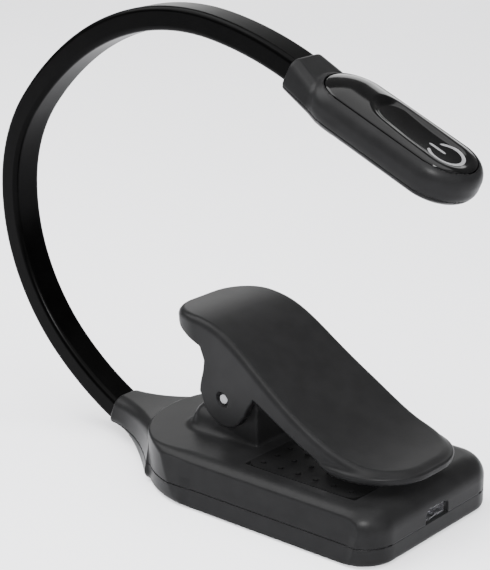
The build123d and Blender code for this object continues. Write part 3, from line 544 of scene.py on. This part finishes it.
pin_centre = np.array([PIN_X, 0.0, PIN_Z])
wound_from, wound_to = UPPER_LEG[0] - 90, LOWER_LEG[0] + 90 - 360 * (SPRING_TURNS + 1)
wire = []
for share in np.linspace(0, 1, 40 * SPRING_TURNS):
    angle = wound_from + (wound_to - wound_from) * share
    across = np.array([0.0, SPRING_HALF_WIDTH * (1 - 2 * share), 0.0])
    wire.append(pin_centre + heading_vector(angle) * SPRING_RADIUS + across)
quarters = (0.25, 0.5, 0.75, 1.0)
wire += [wire[-1] + heading_vector(LOWER_LEG[0]) * LOWER_LEG[1] * share for share in quarters]
leg = [wire[0] + heading_vector(UPPER_LEG[0]) * UPPER_LEG[1] * share for share in (0.0, *quarters)]
dress(tube("spring_coil", wire, SPRING_WIRE), "base", slot_of["torsion_spring"], "torsion_spring")
dress(tube("spring_leg", leg, SPRING_WIRE), "lever", slot_of["torsion_spring"], "torsion_spring")


# ---------------------------------------------------------------- neck's pieces
links = len(LINK_TURNS)
for i in range(links + 1):
    station = i * LINK_LENGTH
    start = -NECK_IN_SNOUT if i == 0 else station - LINK_LENGTH / 2
    end = station + NECK_IN_COLLAR if i == links else station + LINK_LENGTH / 2
    piece = neck_piece(f"neck_skin_{i + 1}", start, end)
    replaced = f"neck_sleeve_{min(i + 1, links)}"
    dress(piece, None, "sleeve_rubber", replaced)
    reach = (LINK_BLEND, LINK_BLEND)
    if i == 0:
        reach = (0.2, END_BLEND)
    elif i == links:
        reach = (END_BLEND, -0.2)
    a, _ = neck_point(station - reach[0] if i else reach[0])
    b, _ = neck_point(station + reach[1])
    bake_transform(piece)


# ---------------------------------------------------------------- head
head_end, head_heading = neck_point(links * LINK_LENGTH)
head_along, head_up = heading_vector(head_heading), heading_vector(head_heading + 90)
head_nose = head_end - head_along * COLLAR_END - head_up * NECK_OVER_HEAD
head_place = (np.stack([head_along, np.array([0.0, 1.0, 0.0]), head_up], 1), head_nose)


def head_form(x, y, z):
    """Pill-shaped head with its tapered collar, in the head's own frame."""
    plan = stadium(x, y, -HEAD_LENGTH, 0.0, HEAD_HALF_WIDTH)
    pill = meet(meet(plan, z - HEAD_HALF_HEIGHT, 3.6), -z - HEAD_HALF_HEIGHT, 3.4)
    t = np.clip((-x - 34.0) / (-COLLAR_END - 34.0), 0, 1.05)
    side = (np.abs(y) - 7.6 + 2.4 * t) * 0.95 + 0.1 * z
    top, bottom = 1.6 + 2.5 * t, 0.6 * t - 3.9
    collar = meet(side, np.maximum(z - top, bottom - z), 2.1)
    collar = meet(collar, COLLAR_LIP - x, 0.8)
    return join(pill, meet(collar, x + 30.0), 0.6)


def key_room(x, y, z, grow):
    """Distance outside the key's outline, grown by grow."""
    rear, front = KEY_INSET - HEAD_LENGTH - grow, grow - KEY_INSET
    return stadium(x, y, rear, front, HEAD_HALF_WIDTH - KEY_INSET + grow)


def head_upper(x, y, z):
    """Upper head shell with the key's recess."""
    form = meet(head_form(x, y, z), HEAD_PARTING + 0.02 - z, 0.12)
    return cut(form, meet(key_room(x, y, z, KEY_GAP), KEY_BOTTOM - 0.7 - z), 0.12)


def head_lower(x, y, z):
    """Lower head cover with the lens opening."""
    form = meet(head_form(x, y, z), z - HEAD_PARTING + 0.02, 0.12)
    opening = stadium(x, y, LENS_REAR_X, LENS_FRONT_X, LENS_HALF_WIDTH)
    form = cut(form, opening, 0.25)
    for sx in HEAD_SCREWS:
        hole = np.sqrt((x - sx) ** 2 + y**2) - HEAD_SCREW_HOLE
        form = cut(form, meet(hole, z + HEAD_HALF_HEIGHT - 0.8), 0.08)
    return form


def key_height(x, y):
    """Height of the key's top: a dome behind, a finger dish in front."""
    edge = np.clip(-key_room(x, y, 0, 0.0) / 7.1, 0, 1)
    dome = 1.0 - (1.0 - edge) ** 2.0
    crown = KEY_SEAM_Z + (1.0 + 0.9 * ease(-x, 2.0, 26.0)) * dome
    floor = KEY_SEAM_Z - 0.15 + 0.25 * (y / 4.6) ** 2 + 0.75 * ease(-x, 13.0, 27.0)
    basin = stadium(x, y, -27.2, -2.8, 5.5)
    return crown + (floor - crown) * ease(-basin, -0.4, 2.0)


def key_form(x, y, z):
    """Glossy press key."""
    return meet(key_room(x, y, z, 0.0), (z - key_height(x, y)) * 0.95, 0.3)


def key_solid(x, y, z):
    """The key down to its flat underside."""
    return meet(key_form(x, y, z), KEY_BOTTOM - z)


head_low, head_high = (-47.8, -9.8, -4.7), (0.8, 9.8, 6.0)
piece = mesh_object("head_shell_upper", *skin(head_upper, head_low, head_high, HEAD_GRID), head_place)
dress(piece, "head", "shell_plastic", "head_top_shell")
lower_skin = skin(head_lower, head_low, (0.8, 9.8, -1.4), HEAD_GRID)
piece = mesh_object("head_shell_lower", *lower_skin, head_place)
dress(piece, "head", "shell_plastic", "head_bottom_cover")
key_skin = skin(key_solid, (-39.2, -7.9, 1.6), (-1.2, 7.9, 6.0), KEY_GRID)
piece = mesh_object("press_key", *key_skin, head_place)
dress(piece, "key", "gloss_black", "power_key")


def ribbon(path, half, lift):
    """A flat printed stroke lying on the key's top."""
    path = np.array(path)
    along = np.gradient(path, axis=0)
    along /= np.linalg.norm(along, axis=1)[:, None]
    side = np.stack([-along[:, 1], along[:, 0]], 1)
    points, faces = [], []
    widths = np.linspace(-half, half, 5)
    for k in range(len(path)):
        rounded = math.sqrt(max(0.0, 1 - max(0.0, 1 - min(k, len(path) - 1 - k) / 4) ** 2))
        for w in widths:
            x, y = path[k] + side[k] * w * max(rounded, 0.15)
            points.append((x, y, float(key_height(np.array(x), np.array(y))) + lift))
    for k in range(len(path) - 1):
        for i in range(len(widths) - 1):
            a = k * len(widths) + i
            faces.append((a, a + len(widths), a + len(widths) + 1, a + 1))
    return points, faces, gradient(key_form, np.array(points), 0.05)[1]


sweep = np.radians(np.linspace(-148, 148, 90))
ring = [(ICON_X + ICON_R * math.cos(a), ICON_R * math.sin(a)) for a in sweep]
bar = [(x, 0.0) for x in np.linspace(ICON_X - 4.3, ICON_X - 0.2, 24)]
for name, path in (("icon_ring", ring), ("icon_bar", bar)):
    piece = mesh_object(name, *ribbon(path, 0.38, 0.03), head_place)
    dress(piece, "key", "icon_silver", "power_icon")


# ---------------------------------------------------------------- softened CAD nodes
for node, width in (("usb_socket_shell", 0.06), ("jaw_pad", 0.25), ("lower_grip_pad", 0.1)):
    bevel = frame["nodes"][node].modifiers.new("soft edge", "BEVEL")
    bevel.width, bevel.segments, bevel.limit_method = width * MM, 2, "ANGLE"
    bevel.harden_normals = True


# ---------------------------------------------------------------- floor, light and camera
floor_mesh = bpy.data.meshes.new("floor")
floor_mesh.from_pydata([(-3, -3, 0), (3, -3, 0), (3, 3, 0), (-3, 3, 0)], [], [(0, 1, 2, 3)])
floor = bpy.data.objects.new("floor", floor_mesh)
bpy.context.scene.collection.objects.link(floor)
floor.location.z = -0.0002
floor_mesh.materials.append(finish("floor", grey(0.93), grey(0.95), (0.8, 0.9), grain=20, bump=0.0))

world = bpy.data.worlds.new("studio")
world.use_nodes = True
world.node_tree.nodes["Background"].inputs["Color"].default_value = (1, 1, 1, 1)
world.node_tree.nodes["Background"].inputs["Strength"].default_value = 0.24
bpy.context.scene.world = world


def area_light(name, place, aim, size, power, shadow=True):
    """A soft box at place, aimed at a point, both in millimetres."""
    lamp = bpy.data.lights.new(name, "AREA")
    lamp.shape, lamp.size, lamp.size_y, lamp.energy = "RECTANGLE", size[0], size[1], power
    lamp.use_shadow = shadow
    holder = bpy.data.objects.new(name, lamp)
    bpy.context.scene.collection.objects.link(holder)
    holder.location = Vector(place) * MM
    holder.rotation_mode = "QUATERNION"
    holder.rotation_quaternion = ((Vector(aim) - Vector(place)) * MM).to_track_quat("-Z", "Y")


area_light("top_box", (60, -100, 1000), (0, 0, 0), (1.3, 1.3), 21.0)
area_light("left_box", (-620, -260, 820), (0, 0, 20), (0.8, 0.8), 15.0)
area_light("right_box", (640, -80, 330), (0, 0, 30), (0.4, 0.4), 1.2)
area_light("back_box", (-430, 700, 260), (0, 0, 30), (0.6, 0.4), 1.6)
area_light("front_box", (345, -410, 530), (0, 0, 30), (0.10, 0.10), 9.0, shadow=False)

AZIMUTH, ELEVATION = math.radians(39.86), math.radians(18.21)
CAMERA_AIM, CAMERA_DISTANCE, CAMERA_LENS = (-15.28, 0, 43.59), 386.25, 113.35
back = Vector((
    math.sin(AZIMUTH) * math.cos(ELEVATION),
    -math.cos(AZIMUTH) * math.cos(ELEVATION),
    math.sin(ELEVATION),
))
lens_data = bpy.data.cameras.new("camera")
lens_data.lens, lens_data.sensor_width = CAMERA_LENS, 36.0
lens_data.clip_start, lens_data.clip_end = 0.01, 20.0
camera = bpy.data.objects.new("camera", lens_data)
bpy.context.scene.collection.objects.link(camera)
camera.location = Vector(CAMERA_AIM) * MM + back * CAMERA_DISTANCE * MM
camera.rotation_mode = "QUATERNION"
camera.rotation_quaternion = (-back).to_track_quat("-Z", "Y")
bpy.context.scene.camera = camera
